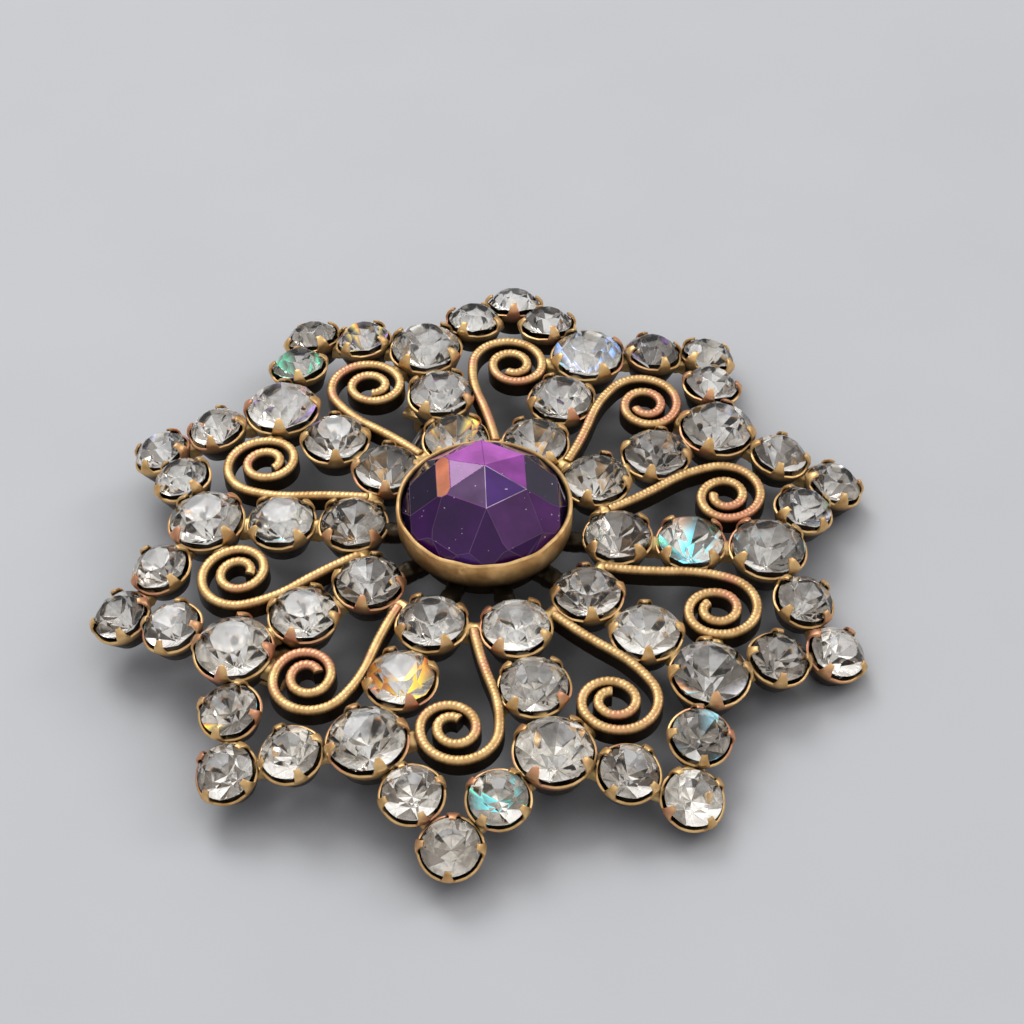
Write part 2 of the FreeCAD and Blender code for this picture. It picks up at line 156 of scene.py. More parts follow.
def pick(piece, vert=None, edge=None, face=None):
    """Selects, in edit mode, the vertices, edges or faces for which the test holds."""
    bpy.ops.mesh.select_all(action="DESELECT")
    bpy.ops.object.mode_set(mode="OBJECT")
    mesh = piece.data
    if vert:
        for v in mesh.vertices:
            v.select = vert(v.co)
    if edge:
        for e in mesh.edges:
            e.select = all(edge(mesh.vertices[i].co) for i in e.vertices)
    if face:
        for f in mesh.polygons:
            f.select = face(f)
    bpy.ops.object.mode_set(mode="EDIT")


def finish_edit():
    bpy.ops.object.mode_set(mode="OBJECT")


def apply_modifiers(piece):
    take_up(piece)
    for modifier in list(piece.modifiers):
        bpy.ops.object.modifier_apply(modifier=modifier.name)


def copy_of(piece, matrix):
    """A copy with its own mesh, put in place by moving its vertices."""
    twin = piece.copy()
    twin.data = piece.data.copy()
    bpy.context.scene.collection.objects.link(twin)
    twin.data.transform(matrix)
    return twin


def joined(pieces, name):
    deselect()
    for piece in pieces:
        piece.select_set(True)
    bpy.context.view_layer.objects.active = pieces[0]
    if len(pieces) > 1:
        bpy.ops.object.join()
    whole = bpy.context.view_layer.objects.active
    whole.name = name
    return whole


def discard(*pieces):
    for piece in pieces:
        bpy.data.objects.remove(piece)


def merged_copy(node):
    """A copy of a CAD node's mesh with its loose triangles joined up."""
    twin = copy_of(frame["nodes"][node], Matrix.Identity(4))
    twin.parent = None
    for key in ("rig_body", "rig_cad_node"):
        if key in twin:
            del twin[key]
    edit(twin)
    bpy.ops.mesh.select_all(action="SELECT")
    bpy.ops.mesh.remove_doubles(threshold=0.002 * MM)
    finish_edit()
    return twin


def islands(mesh):
    """The coordinates of each separate piece of a mesh."""
    parent = list(range(len(mesh.vertices)))

    def root(i):
        while parent[i] != i:
            parent[i] = parent[parent[i]]
            i = parent[i]
        return i

    for e in mesh.edges:
        a, b = root(e.vertices[0]), root(e.vertices[1])
        parent[a] = b
    groups = {}
    for v in mesh.vertices:
        groups.setdefault(root(v.index), []).append(v.co.copy())
    return [np.array(g) for g in groups.values()]


# Where the cups stand, read from the frame

class Seat:
    """A stone's place: girdle centre, axis, the direction of one claw and the girdle's radius."""

    def __init__(self, stone, cup):
        centre = stone.mean(0)
        axis = np.linalg.svd(stone - centre)[2][2]
        heights = (stone - centre) @ axis
        if abs(heights.min()) < heights.max():
            axis = -axis
        heights = (stone - centre) @ axis
        radii = np.linalg.norm(stone - centre - np.outer(heights, axis), axis=1)
        rim = radii > 0.8 * radii.max()
        self.centre = stone[rim].mean(0)
        self.axis = axis
        # The solid's girdle has few corners: the round one lies between its corners and its flats
        self.radius = radii[rim].mean() * math.cos(math.pi / 8) ** 0.5
        side = np.cross(axis, (0.0, 0.0, 1.0) if abs(axis[2]) < 0.99 else (0.0, 1.0, 0.0))
        side /= np.linalg.norm(side)
        self.frame = np.array([side, np.cross(axis, side), axis])
        local = (cup - self.centre) @ self.frame.T
        tips = local[local[:, 2] > 0.9 * local[:, 2].max()]
        turns = np.arctan2(tips[:, 1], tips[:, 0]) * 4
        self.claw_turn = math.atan2(np.sin(turns).mean(), np.cos(turns).mean()) / 4

    def matrix(self, spin=0.0):
        """Turns a piece modelled about the origin, claws along X and Y, into its place."""
        turn = Matrix.Rotation(self.claw_turn + spin, 4, "Z")
        basis = Matrix([list(row) for row in self.frame.T]).to_4x4()
        return Matrix.Translation(Vector(self.centre)) @ basis @ turn


def seats(stone_node, cup_node):
    stones, cups = merged_copy(stone_node), merged_copy(cup_node)
    stone_parts, cup_parts = islands(stones.data), islands(cups.data)
    discard(stones, cups)
    found = []
    for stone in stone_parts:
        cup = min(cup_parts, key=lambda c: np.linalg.norm(c.mean(0) - stone.mean(0)))
        found.append(Seat(stone, cup))
    return found


# Materials

BLACK = (0.0, 0.0, 0.0)
WHITE = (1.0, 1.0, 1.0)
# Near-black colour of the patina, also used as painted shade in recesses and on lower walls
PATINA_AND_SHADE = (0.016, 0.011, 0.007)


def grey(value):
    return value, value, value


def new_material(name):
    material = bpy.data.materials.new(name)
    material.use_nodes = True
    tree = material.node_tree
    return material, tree.nodes, tree.links, tree.nodes["Principled BSDF"]


def noise(nodes, links, scale, detail=4.0):
    coordinates = nodes.new("ShaderNodeTexCoord")
    texture = nodes.new("ShaderNodeTexNoise")
    texture.inputs["Scale"].default_value = scale
    texture.inputs["Detail"].default_value = detail
    links.new(coordinates.outputs["Object"], texture.inputs["Vector"])
    return texture.outputs["Fac"]


def ramp(nodes, links, source, stops):
    node = nodes.new("ShaderNodeValToRGB")
    elements = node.color_ramp.elements
    while len(elements) < len(stops):
        elements.new(0.5)
    for element, (position, colour) in zip(elements, stops):
        element.position = position
        element.color = (*colour, 1.0)
    links.new(source, node.inputs["Fac"])
    return node.outputs["Color"]


def bump(nodes, links, height, shader, strength, distance):
    node = nodes.new("ShaderNodeBump")
    node.inputs["Strength"].default_value = strength
    node.inputs["Distance"].default_value = distance
    links.new(height, node.inputs["Height"])
    links.new(node.outputs["Normal"], shader.inputs["Normal"])


def mixed(nodes, links, share, first, second, mode="MIX"):
    node = nodes.new("ShaderNodeMix")
    node.data_type = "RGBA"
    node.blend_type = mode
    for socket, value in (("Factor", share), ("A", first), ("B", second)):
        slot = next(i for i in node.inputs if i.name == socket and i.enabled)
        if isinstance(value, tuple):
            slot.default_value = (*value, 1.0)
        elif isinstance(value, float):
            slot.default_value = value
        else:
            links.new(value, slot)
    return next(o for o in node.outputs if o.enabled)


def antique_brass(name, light, dark, copper, patina_and_shade_low, patina_and_shade_high, shaded_and_worn=False, rough=0.4):
    """Brass that is bright where it is rubbed, coppery in patches and dark in its recesses, where its
    patina is deepened with painted shade by occlusion. Pieces that read the stored wear and shade are
    also darker low down, as painted shade on their lower walls.
    """
    material, nodes, links, shader = new_material(name)
    tone = ramp(nodes, links, noise(nodes, links, 900.0), ((0.3, dark), (0.62, light)))
    patches = ramp(nodes, links, noise(nodes, links, 260.0, 2.0), ((0.52, BLACK), (0.64, WHITE)))
    coloured = mixed(nodes, links, patches, tone, copper)
    # Painted shade: occlusion darkens the recesses towards the near-black colour, deepening the patina
    recess = nodes.new("ShaderNodeAmbientOcclusion")
    recess.samples = 8
    recess.inputs["Distance"].default_value = 1.1 * MM
    shade = ramp(nodes, links, recess.outputs["AO"], ((patina_and_shade_low, BLACK), (patina_and_shade_high, WHITE)))
    if shaded_and_worn:
        # Painted shade and wear: the stored value leaves rubbed tops bright and darkens the lower walls
        wear_and_shade = nodes.new("ShaderNodeAttribute")
        wear_and_shade.attribute_name = "wear_and_shade"
        rubbed_and_shaded = ramp(nodes, links, wear_and_shade.outputs["Fac"], ((0.1, grey(0.03)), (0.9, WHITE)))
        shade = mixed(nodes, links, 1.0, shade, rubbed_and_shaded, "MULTIPLY")
    links.new(mixed(nodes, links, shade, PATINA_AND_SHADE, coloured), shader.inputs["Base Color"])
    shader.inputs["Metallic"].default_value = 0.75
    grain = noise(nodes, links, 2600.0)
    satin = nodes.new("ShaderNodeMapRange")
    satin.inputs["To Min"].default_value = rough - 0.12
    satin.inputs["To Max"].default_value = rough + 0.12
    links.new(grain, satin.inputs["Value"])
    links.new(satin.outputs["Result"], shader.inputs["Roughness"])
    bump(nodes, links, grain, shader, rough, 0.04 * MM)
    return material


def stone_glass(name, colour):
    material, nodes, links, shader = new_material(name)
    shader.inputs["Base Color"].default_value = (*colour, 1.0)
    shader.inputs["Transmission Weight"].default_value = 1.0
    shader.inputs["IOR"].default_value = 1.55
    scuff = ramp(nodes, links, noise(nodes, links, 1500.0), ((0.55, BLACK), (0.75, grey(0.05))))
    links.new(scuff, shader.inputs["Roughness"])
    return material


def foil(name, attribute):
    """Silvering on the back of a stone. Each facet has the tone of its colour attribute, whose alpha
    is how strongly the facet glows: painted highlights and glints."""
    material, nodes, links, shader = new_material(name)
    tone_and_light = nodes.new("ShaderNodeAttribute")
    tone_and_light.attribute_name = attribute
    mottle = ramp(nodes, links, noise(nodes, links, 900.0), ((0.34, (0.62, 0.60, 0.58)), (0.56, WHITE)))
    silver = mixed(nodes, links, 1.0, tone_and_light.outputs["Color"], mottle, "MULTIPLY")
    links.new(silver, shader.inputs["Base Color"])
    # Painted highlights and glints: facets glow in their colour, the alpha giving the strength
    links.new(tone_and_light.outputs["Color"], shader.inputs["Emission Color"])
    links.new(tone_and_light.outputs["Alpha"], shader.inputs["Emission Strength"])
    shader.inputs["Metallic"].default_value = 1.0
    shader.inputs["Roughness"].default_value = 0.08
    bump(nodes, links, noise(nodes, links, 1500.0, 1.0), shader, 0.2, 0.03 * MM)
    return material


def foiled_glass(name, attribute):
    """Coloured glass backed with foil, under a clear coat: each facet's tone is painted light and shade.
    """
    material, nodes, links, shader = new_material(name)
    tone_and_light = nodes.new("ShaderNodeAttribute")
    tone_and_light.attribute_name = attribute
    cloud = ramp(nodes, links, noise(nodes, links, 420.0), ((0.35, grey(0.62)), (0.65, WHITE)))
    depth = mixed(nodes, links, 1.0, tone_and_light.outputs["Color"], cloud, "MULTIPLY")
    specks = ramp(nodes, links, noise(nodes, links, 4600.0, 0.0), ((0.84, BLACK), (0.86, WHITE)))
    links.new(mixed(nodes, links, specks, depth, (0.62, 0.52, 0.66)), shader.inputs["Base Color"])
    shader.inputs["Roughness"].default_value = 0.3
    shader.inputs["Specular IOR Level"].default_value = 0.0
    shader.inputs["Coat Weight"].default_value = 0.8
    shader.inputs["Coat Roughness"].default_value = 0.02
    return material


def plain_glass(name, colour):
    """Glass on an edge that is rubbed bright in places, used for a painted highlight along the edges."""
    material, nodes, links, shader = new_material(name)
    scratches = ramp(nodes, links, noise(nodes, links, 280.0), ((0.44, grey(0.16)), (0.62, WHITE)))
    links.new(mixed(nodes, links, 1.0, scratches, colour, "MULTIPLY"), shader.inputs["Base Color"])
    shader.inputs["Roughness"].default_value = 0.2
    shader.inputs["Coat Weight"].default_value = 1.0
    return material


def wire_steel():
    material, nodes, links, shader = new_material("pin_wire")
    tones = ((0.3, (0.42, 0.42, 0.43)), (0.7, (0.66, 0.66, 0.67)))
    tone = ramp(nodes, links, noise(nodes, links, 1200.0), tones)
    links.new(tone, shader.inputs["Base Color"])
    shader.inputs["Metallic"].default_value = 1.0
    shader.inputs["Roughness"].default_value = 0.28
    bump(nodes, links, noise(nodes, links, 4000.0), shader, 0.15, 0.02 * MM)
    return material


GOLD = (0.93, 0.61, 0.27)
OLD_GOLD = (0.58, 0.33, 0.12)
COPPER = (0.72, 0.34, 0.19)
SCROLL_GOLD = (0.84, 0.545, 0.245)
OLD_SCROLL_GOLD = (0.56, 0.325, 0.125)
SOLDER_GOLD = (0.95, 0.68, 0.30)
cup_metal = antique_brass("cup_metal", GOLD, OLD_GOLD, COPPER, 0.25, 0.62, shaded_and_worn=True)
scroll_metal = antique_brass("scroll_metal", SCROLL_GOLD, OLD_SCROLL_GOLD, COPPER, 0.12, 0.50, shaded_and_worn=True)
bezel_metal = antique_brass("bezel_metal", GOLD, OLD_GOLD, OLD_GOLD, 0.2, 0.55, shaded_and_worn=True, rough=0.52)
solder_metal = antique_brass("solder_metal", SOLDER_GOLD, OLD_GOLD, GOLD, 0.2, 0.6, shaded_and_worn=True)
catch_metal = antique_brass("catch_metal", GOLD, OLD_GOLD, GOLD, 0.15, 0.5)
clear_glass = stone_glass("clear_glass", WHITE)
clear_foil = foil("clear_foil", "tone_and_light")
purple_glass = foiled_glass("purple_glass", "tone_and_light")
# Light edge glass, used as a painted highlight on rubbed edges of the centre stone
rubbed_edge_highlight = plain_glass("rubbed_edge_highlight", (0.62, 0.46, 0.68))
pin_metal = wire_steel()


# Stones, ground facet by facet as a lapidary does

def grind(piece, turn, slope, radius, height):
    """Cuts off what lies outside a plane that faces turn, slopes down at slope degrees and passes
    at radius from the axis at that height."""
    way = Vector((math.cos(math.radians(turn)), math.sin(math.radians(turn)), 0))
    lift = math.radians(slope)
    normal = way * math.sin(lift) + Vector((0, 0, math.cos(lift)))
    bpy.ops.mesh.select_all(action="SELECT")
    bpy.ops.mesh.bisect(plane_co=way * radius + Vector((0, 0, height)), plane_no=normal,
                        clear_outer=True, use_fill=True)


def ground_stone():
    """A round brilliant of radius 1 with its girdle at z = 0, silvered on the pavilion."""
    deselect()
    bpy.ops.mesh.primitive_cylinder_add(vertices=32, radius=1.0, depth=2.6, end_fill_type="NGON")
    stone = bpy.context.object
    edit(stone, "FACE")
    grind(stone, 0, 0, 0, TABLE_HEIGHT)
    for k in range(8):
        grind(stone, 45 * k, *MAIN_FACET)
        grind(stone, 45 * k + 22.5, *STAR_FACET)
    for k in range(16):
        grind(stone, 22.5 * k + 11.25, *UPPER_FACET)
    for k in range(8):
        grind(stone, 45 * k, *PAVILION_FACET)
    for k in range(16):
        grind(stone, 22.5 * k + 11.25, *LOWER_FACET)
    finish_edit()
    edges = stone.modifiers.new("edges", "BEVEL")
    edges.width = 0.012
    edges.segments = 1
    edges.limit_method = "ANGLE"
    edges.angle_limit = math.radians(12)
    apply_modifiers(stone)
    stone.data.materials.append(clear_glass)
    stone.data.materials.append(clear_foil)
    for face in stone.data.polygons:
        face.material_index = 1 if face.normal.z < -0.2 else 0
    return stone


# Pairs of rainbow colours that glow side by side, as painted glints of fire
PAINTED_FIRE_GLINTS = (((0.05, 0.75, 1.0), (1.0, 0.35, 0.05)),
        ((0.1, 0.35, 1.0), (0.9, 0.9, 1.0)),
        ((0.05, 0.9, 0.5), (0.2, 0.9, 1.0)),
        ((1.0, 0.75, 0.05), (1.0, 0.2, 0.05)),
        ((0.5, 0.25, 1.0), (0.3, 0.8, 1.0)))
BRIGHT_SILVER = (1.0, 0.975, 0.93)
SILVER = (BRIGHT_SILVER, BRIGHT_SILVER, (0.91, 0.875, 0.82), (0.76, 0.72, 0.66), (0.45, 0.41, 0.37))
# Painted highlight: a white glow for near facets, at the alpha's strength
WHITE_HIGHLIGHT_GLOW = (1.0, 0.98, 0.95, 0.45)
SHADED_SILVER = (0.3, 0.28, 0.26, 0.0)
FIERY_STONES = 0.42
HIGHLIGHT_GLOW_FACETS = 0.35
FIERY_FACETS = 0.12
# Glow strengths of a painted coloured glint's corner and of its neighbour
FIRE_GLOW = 1.5
SIDE_FIRE_GLOW = 0.9


def paint_facet_silver_and_glow(stone, seat):
    """Gives each silvered facet a lighter or darker silver. The alpha of the colour is how strongly a
    facet glows: broad facets near the viewer may glow white as a painted highlight, and in a few
    stones one corner glows in colour as a painted glint."""
    layer = stone.data.color_attributes.new("tone_and_light", "FLOAT_COLOR", "CORNER")
    largest = max(face.area for face in stone.data.polygons if face.material_index == 1)
    fiery = random.random() < FIERY_STONES
    for face in stone.data.polygons:
        colour = (*random.choice(SILVER), 0.0)
        near = (seat.centre[1] - face.center.y) / seat.radius
        broad = face.material_index == 1 and face.area > 0.2 * largest
        # Painted highlight: some broad facets on the near side glow white
        if broad and near > 0.3 and random.random() < HIGHLIGHT_GLOW_FACETS:
            colour = WHITE_HIGHLIGHT_GLOW
        for corner in face.loop_indices:
            layer.data[corner].color = colour
        # Painted glint: one corner glows in colour and its neighbour more weakly
        if broad and fiery and random.random() < FIERY_FACETS:
            for corner in face.loop_indices:
                layer.data[corner].color = SHADED_SILVER
            first, second = random.choice(PAINTED_FIRE_GLINTS)
            corner = random.randrange(len(face.loop_indices) - 1)
            layer.data[face.loop_indices[corner]].color = (*first, FIRE_GLOW)
            layer.data[face.loop_indices[corner + 1]].color = (*second, SIDE_FIRE_GLOW)


# Cups

def claw_side(co, half_turn=CLAW_HALF_TURN):
    """Whether a point lies within a claw's width of the X or Y axis."""
    turn = math.degrees(math.atan2(co.y, co.x))
    return abs((turn + 45.0) % 90.0 - 45.0) < half_turn


def pull_up(rise, scale):
    """Extrudes the selected edges upwards and draws them in or out."""
    bpy.ops.mesh.extrude_edges_move(TRANSFORM_OT_translate={"value": (0, 0, rise)})
    bpy.ops.transform.resize(value=(scale, scale, 1), center_override=(0, 0, 0))


def narrow_claws(piece, above, share):
    """Narrows the claws above a height, each towards its own middle line."""
    for along_x in (True, False):
        pick(piece, vert=lambda co: co.z > above and (abs(co.x) > abs(co.y)) == along_x)
        value = (1, share, 1) if along_x else (share, 1, 1)
        bpy.ops.transform.resize(value=value, center_override=(0, 0, 0))


def wear_and_shade_by_height(piece, low, high):
    """Stores how bright the metal is, rubbed wear and painted shade together: nothing at the low
    height, where the lower walls are darkened as painted shade, fully at the high one.
    """
    wear_and_shade = piece.data.attributes.new("wear_and_shade", "FLOAT", "POINT")
    for vertex in piece.data.vertices:
        wear_and_shade.data[vertex.index].value = min(1.0, max(0.0, (vertex.co.z - low) / (high - low)))


def claw_cup(stone_r):
    """A pressed cup: foot, flaring wall, a rim between four claws, and the claws bent in."""
    cup_r = stone_r + CUP_WALL
    depth = 0.84 * stone_r + 0.35 * MM
    crown = 0.44 * stone_r
    deselect()
    bpy.ops.mesh.primitive_circle_add(vertices=CUP_SEGMENTS, radius=CUP_FOOT_SHARE * cup_r,
                                      fill_type="NGON", location=(0, 0, -depth))
    cup = bpy.context.object
    bpy.ops.object.transform_apply(location=True, rotation=True, scale=True)
    spin = Matrix.Rotation(math.pi / CUP_SEGMENTS, 4, "Z")
    cup.data.transform(spin)
    edit(cup, "EDGE")
    bpy.ops.mesh.select_all(action="SELECT")
    rise = depth - RIM_DROP
    for step in ((0.10 * MM, 1.10), (0.55 * rise, 1.27), (0.45 * rise - 0.10 * MM, 1.15)):
        pull_up(*step)
    top = -RIM_DROP - 0.01 * MM
    pick(cup, vert=lambda co: co.z > top and claw_side(co, CLAW_HALF_TURN + 9))
    bpy.ops.transform.translate(value=(0, 0, 0.06 * MM))
    bpy.ops.mesh.select_mode(type="EDGE")
    pick(cup, edge=lambda co: co.z > top and claw_side(co))
    bend = ((0.20 * crown, 0.975), (0.26 * crown, 0.89), (0.10 * crown, 0.90))
    for step in ((RIM_DROP - 0.10 * MM, 1.03), *bend):
        pull_up(*step)
    for step in ((-0.15 * MM, 0.82), (0.15 * crown, 0.82), (0.36 * crown, 0.72), (0.52 * crown, 0.42)):
        narrow_claws(cup, *step)
    finish_edit()
    wall = cup.modifiers.new("wall", "SOLIDIFY")
    wall.thickness = CUP_WALL
    wall.offset = -1
    edges = cup.modifiers.new("edges", "BEVEL")
    edges.width = 0.05 * MM
    edges.segments = 2
    edges.limit_method = "ANGLE"
    edges.angle_limit = math.radians(50)
    apply_modifiers(cup)
    bpy.ops.object.shade_smooth_by_angle(angle=math.radians(42))
    # Painted shade on the cup's lower wall; the rim and claws stay bright as rubbed wear
    wear_and_shade_by_height(cup, -0.9 * MM, -0.32 * MM)
    cup.data.materials.append(cup_metal)
    return cup


def dress_cups():
    """Replaces the cups and stones of every spoke and point."""
    stone = ground_stone()
    cups = {}
    for kind in ("spoke", "point"):
        for number in range(1, POINTS + 1):
            label = f"{kind}_{{}}_{number:02d}"
            places = seats(label.format("stones"), label.format("cups"))
            made_cups, made_stones = [], []
            for seat in places:
                size = round(seat.radius / MM, 2)
                if size not in cups:
                    cups[size] = claw_cup(seat.radius)
                sway = math.radians(random.uniform(-6, 6))
                made_cups.append(copy_of(cups[size], seat.matrix(sway)))
                spin = math.radians(random.uniform(0, 45))
                tilt = Matrix.Rotation(math.radians(random.uniform(-1.5, 1.5)), 4, "X")
                gem = copy_of(stone, Matrix.Scale(seat.radius * 0.995, 4))
                gem.data.transform(seat.matrix(spin) @ tilt)
                paint_facet_silver_and_glow(gem, seat)
                made_stones.append(gem)
            cup_set = joined(made_cups, f"{kind}_cup_set_{number:02d}")
            stone_set = joined(made_stones, f"{kind}_stone_set_{number:02d}")
            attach(cup_set, "brooch")
            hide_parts(label.format("cups"))
            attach(stone_set, "brooch")
            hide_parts(label.format("stones"))
    discard(stone, *cups.values())


# Scrolls

def arc_points(centre, radius, start, turn, step=5.0):
    count = max(3, math.ceil(abs(turn) / step))
    angles = [math.radians(start + turn * k / count) for k in range(count + 1)]
    return [centre + Vector((math.cos(a), math.sin(a), 0)) * radius for a in angles]


def scroll_line():
    """The middle line of a scroll: two long arcs of the shank and the half circles of the coil."""
    run = EYE_X - SCROLL_START
    first, middle = math.radians(START_HEADING), math.radians(MIDDLE_HEADING)
    out_x, out_y = math.sin(middle) - math.sin(first), math.cos(first) - math.cos(middle)
    back_x, back_y = math.sin(middle), 1 - math.cos(middle)
    spread = out_x * back_y - back_x * out_y
    out_radius = (run * back_y - back_x * SCROLL_RISE) / spread
    back_radius = (out_x * SCROLL_RISE - run * out_y) / spread
    start = Vector((SCROLL_START, 0, 0))
    turn = math.radians(START_HEADING + 90)
    line = arc_points(start + Vector((math.cos(turn), math.sin(turn), 0)) * out_radius, out_radius,
                      START_HEADING - 90, MIDDLE_HEADING - START_HEADING, 2.0)
    line += arc_points(Vector((EYE_X, SCROLL_RISE - back_radius, 0)), back_radius,
                       90 + MIDDLE_HEADING, -MIDDLE_HEADING, 2.0)[1:]
    y, side = SCROLL_RISE, 1
    for radius, sweep in [(r, 180.0) for r in COIL_RADII] + [(EYE_RADIUS, EYE_TURN)]:
        line += arc_points(Vector((EYE_X, y - side * radius, 0)), radius, 90 * side, -sweep)[1:]
        y -= 2 * side * radius
        side = -side
    return line


def milled_tooth():
    """One tooth of the ribbon's milled edge, with the wall under it, at the start of the ribbon."""
    deselect()
    bpy.ops.mesh.primitive_cube_add(size=1)
    tooth = bpy.context.object
    tooth.scale = (TOOTH_PITCH, RIBBON_WIDTH, RIBBON_HEIGHT)
    tooth.location = (TOOTH_PITCH / 2, 0, -RIBBON_HEIGHT / 2)
    bpy.ops.object.transform_apply(location=True, rotation=True, scale=True)
    edit(tooth, "EDGE")
    for side in (1, -1):
        pick(tooth, edge=lambda co: co.z > -0.01 * MM and co.y * side > 0.3 * RIBBON_WIDTH)
        bpy.ops.mesh.bevel(offset=EDGE_ROUND, segments=3, affect="EDGES")
    for share in (0.3, 0.7):
        bpy.ops.mesh.select_all(action="SELECT")
        bpy.ops.mesh.bisect(plane_co=(share * TOOTH_PITCH, 0, 0), plane_no=(1, 0, 0))
    bpy.ops.mesh.select_all(action="SELECT")
    bpy.ops.mesh.bisect(plane_co=(0, 0, -0.45 * MM), plane_no=(0, 0, 1))
    bpy.ops.mesh.select_mode(type="FACE")
    pick(tooth, face=lambda f: abs(f.normal.x) > 0.9)
    bpy.ops.mesh.delete(type="ONLY_FACE")
    bpy.ops.mesh.select_mode(type="VERT")
    pick(tooth, vert=lambda co: min(co.x, TOOTH_PITCH - co.x) < 0.01 * MM and co.z > -0.4 * MM)
    bpy.ops.transform.translate(value=(0, 0, -GROOVE))
    bpy.ops.transform.resize(value=(1, GROOVE_WIDTH_SHARE, 1), center_override=(0, 0, 0))
    finish_edit()
    return tooth


def milled_scroll(name):
    """The ribbon: teeth repeated to the middle line's length, then curled along it."""
    line = scroll_line()
    length = sum((b - a).length for a, b in zip(line, line[1:]))
    path = bpy.data.curves.new("scroll_path", "CURVE")
    path.dimensions = "3D"
    path.twist_mode = "Z_UP"
    spline = path.splines.new("POLY")
    spline.points.add(len(line) - 1)
    for point, co in zip(spline.points, line):
        point.co = (*co, 1.0)
    guide = bpy.data.objects.new("scroll_guide", path)
    bpy.context.scene.collection.objects.link(guide)
    ribbon = milled_tooth()
    ribbon.name = name
    row = ribbon.modifiers.new("row", "ARRAY")
    row.count = round(length / TOOTH_PITCH)
    row.use_relative_offset = False
    row.use_constant_offset = True
    row.constant_offset_displace = (length / row.count, 0, 0)
    row.use_merge_vertices = True
    row.merge_threshold = 0.012 * MM
    curl = ribbon.modifiers.new("curl", "CURVE")
    curl.object = guide
    curl.deform_axis = "POS_X"
    apply_modifiers(ribbon)
    edit(ribbon, "EDGE")
    bpy.ops.mesh.select_all(action="DESELECT")
    bpy.ops.mesh.select_non_manifold(extend=False)
    bpy.ops.mesh.edge_face_add()
    bpy.ops.mesh.select_all(action="SELECT")
    bpy.ops.mesh.normals_make_consistent(inside=False)
    finish_edit()
    take_up(ribbon)
    bpy.ops.object.shade_smooth_by_angle(angle=math.radians(50))
    # Painted shade on the ribbon's side walls; the rubbed top stays bright
    wear_and_shade_by_height(ribbon, -0.45 * MM, -0.1 * MM)
    ribbon.data.materials.append(scroll_metal)
    discard(guide)
    return ribbon


def dress_scrolls():
    pattern = milled_scroll("scroll_pattern")
    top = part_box("scroll_01")[1].z
    lean = Matrix.Rotation(math.radians(1.5), 4, "Y")
    pivot = Matrix.Translation((SCROLL_START, 0, 0))
    for number in range(1, POINTS + 1):
        turn = Matrix.Rotation(math.radians(FIRST_POINT - SECTOR * (number - 1)), 4, "Z")
        place = turn @ Matrix.Translation((0, 0, top)) @ pivot @ lean @ pivot.inverted()
        scroll = copy_of(pattern, place)
        scroll.name = f"milled_scroll_{number:02d}"
        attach(scroll, "brooch")
        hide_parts(f"scroll_{number:02d}")
    discard(pattern)


# Centre stone and its bezel

def dress_bezel():
    """The collet: a foot, a low wall and an uneven lip that is rubbed down towards the stone."""
    low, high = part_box("centre_bezel")
    deselect()
    bpy.ops.mesh.primitive_circle_add(vertices=120, radius=BEZEL_FOOT_RADIUS, fill_type="NGON",
                                      location=(0, 0, low.z))
    bezel = bpy.context.object
    bezel.name = "bezel"
    bpy.ops.object.transform_apply(location=True, rotation=True, scale=True)
    edit(bezel, "EDGE")
    bpy.ops.mesh.select_all(action="SELECT")
    corner = high.z - BEZEL_WALL_HEIGHT
    foot_height = corner - low.z
    flare = BEZEL_RADIUS * 0.975 / (BEZEL_FOOT_RADIUS * 1.12)
    foot = ((foot_height - 0.5 * MM, 1.0), (0.35 * MM, 1.12), (0.15 * MM, flare))
    wall = ((0.35 * MM, 1.015), (BEZEL_WALL_HEIGHT - 0.65 * MM, 1.008), (0.2 * MM, 0.997))
    lip = ((0.09 * MM, 0.985), (0.01 * MM, 0.985), (-0.07 * MM, 0.985), (-0.20 * MM, 0.99))
    lining = ((-0.8 * MM, 1.0),)
    for step in foot + wall + lip + lining:
        pull_up(*step)
    bpy.ops.mesh.edge_face_add()
    bpy.ops.mesh.select_all(action="SELECT")
    bpy.ops.mesh.normals_make_consistent(inside=False)
    finish_edit()
    waves = [(random.uniform(3, 17), random.uniform(0, 6.28)) for _ in range(5)]
    for vertex in bezel.data.vertices:
        co = vertex.co
        if co.z > corner + 0.1 * MM:
            angle = math.atan2(co.y, co.x)
            dent = sum(math.cos(round(count) * angle + phase) for count, phase in waves) / 5
            lift = min(1.0, (co.z - corner) / BEZEL_WALL_HEIGHT)
            shift = 1 - (0.006 - 0.009 * dent) * lift
            vertex.co = (co.x * shift, co.y * shift, co.z - (0.05 + 0.05 * dent) * MM * lift)
    take_up(bezel)
    bpy.ops.object.shade_smooth_by_angle(angle=math.radians(40))
    # Painted shade on the foot and lower wall; the lip stays bright as rubbed wear
    wear_and_shade_by_height(bezel, corner - 0.1 * MM, high.z - 0.15 * MM)
    bezel.data.materials.append(bezel_metal)
    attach(bezel, "brooch")
    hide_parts("centre_bezel")


# Tones of one purple glass from lit to shaded, painted onto its facets as light and shade
PINK = (0.60, 0.15, 0.62)
ROSE = (0.34, 0.065, 0.38)
MAUVE = (0.15, 0.075, 0.19)
VIOLET = (0.085, 0.025, 0.20)
GRAPE = (0.120, 0.030, 0.165)
PLUM = (0.058, 0.006, 0.105)
INK = (0.020, 0.009, 0.040)
# A painted red glint for the small chip facet
EMBER_GLINT = (0.95, 0.10, 0.08)


